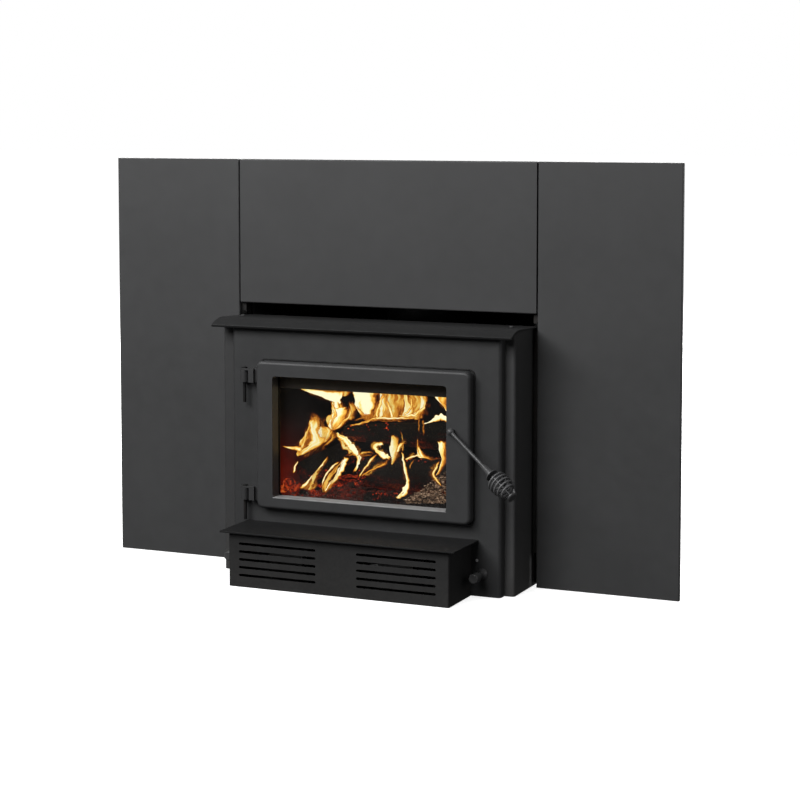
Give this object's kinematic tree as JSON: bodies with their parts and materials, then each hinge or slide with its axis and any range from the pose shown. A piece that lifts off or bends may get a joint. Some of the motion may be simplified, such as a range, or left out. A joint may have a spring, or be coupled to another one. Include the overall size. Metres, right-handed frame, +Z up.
{
  "type": "fireplace insert",
  "caption": "Wood-burning fireplace insert with flat steel surround, glazed door, coil handle, ash shelf and blower below, burning logs inside.",
  "frame": {"origin": "on the hearth, in the plane of the surround's front face, at the middle of its width; it is the underside of the base plate", "axes": "+X right seen from the front, +Y back into the fireplace, +Z up"},
  "size_m": [1.105, 0.6115, 0.749],
  "materials": {
    "satin_charcoal": "satin charcoal stove paint",
    "dark_casing": "matt black stove paint",
    "cast_charcoal": "painted casting, fine grain",
    "black_steel": "heat-blackened steel",
    "bare_steel": "brushed, slightly dulled",
    "firebrick": "sooty fireclay",
    "ceramic_board": "fibrous board",
    "door_glass": "clear ceramic glass",
    "gasket_rope": "woven glass-fibre rope",
    "black_plastic": "moulded, satin",
    "charred_wood": "charred, cracked",
    "embers": "glowing embers and ash"
  },
  "bodies": {
    "root": {"surround_left": "satin_charcoal", "surround_right": "satin_charcoal", "surround_top": "satin_charcoal", "lid_plate": "satin_charcoal", "front_plate": "satin_charcoal", "ash_shelf": "satin_charcoal", "casing_left": "dark_casing", "casing_right": "dark_casing", "casing_back": "dark_casing", "casing_top": "dark_casing", "blower_housing": "dark_casing", "flue_collar": "cast_charcoal", "hinge_knuckle_upper": "cast_charcoal", "hinge_knuckle_lower": "cast_charcoal", "surround_bracket_left": "black_steel", "surround_bracket_right": "black_steel", "base_plate": "black_steel", "firebox_shell": "black_steel", "tube_rail_left": "black_steel", "tube_rail_right": "black_steel", "air_tube_1": "black_steel", "air_tube_2": "black_steel", "air_tube_3": "black_steel", "air_wash_bar": "black_steel", "air_box": "black_steel", "rod_guide": "black_steel", "blower_motor": "black_steel", "blower_scroll_left": "black_steel", "blower_scroll_right": "black_steel", "hinge_pin_upper": "black_steel", "hinge_pin_lower": "black_steel", "latch_keeper": "bare_steel", "floor_brick_1": "firebrick", "floor_brick_2": "firebrick", "floor_brick_3": "firebrick", "side_brick_left": "firebrick", "side_brick_right": "firebrick", "rear_brick": "firebrick", "baffle_board": "ceramic_board", "speed_control": "black_plastic", "log_left": "charred_wood", "log_right": "charred_wood", "log_upper": "charred_wood", "ember_bed": "embers"},
    "door": {"door_frame": "cast_charcoal", "door_glass": "door_glass", "door_gasket": "gasket_rope", "glass_retainer": "black_steel", "hinge_leaf_upper": "cast_charcoal", "hinge_leaf_lower": "cast_charcoal"},
    "handle": {"handle_rod": "bare_steel", "handle_coil": "bare_steel", "latch_cam": "bare_steel"},
    "air_control": {"air_rod": "bare_steel", "air_knob": "black_plastic", "air_damper": "bare_steel"},
    "speed_dial": {"speed_knob": "black_plastic"},
    "rotor": {"blower_shaft": "bare_steel", "blower_wheel_left": "bare_steel", "blower_wheel_right": "bare_steel"}
  },
  "joints": [
    {"name": "door_swing", "type": "hinge", "parent": "root", "child": "door", "pos_m": [-0.224, -0.112, 0.259], "axis": [0, 0, -1], "range_deg": [0, 110]},
    {"name": "handle_turn", "type": "hinge", "parent": "door", "child": "handle", "pos_m": [0.1824, -0.1278, 0.2883], "axis": [0, -1, 0], "range_deg": [0, 90]},
    {"name": "air_slide", "type": "slide", "parent": "root", "child": "air_control", "axis": [0, -1, 0], "range_m": [0, 0.055]},
    {"name": "speed_turn", "type": "hinge", "parent": "root", "child": "speed_dial", "pos_m": [0.2316, -0.137, 0.04], "axis": [0, 1, 0], "range_deg": [0, 300]},
    {"name": "blower_spin", "type": "hinge", "parent": "root", "child": "rotor", "pos_m": [0, -0.15, 0.049], "axis": [1, 0, 0], "continuous": true}
  ]
}
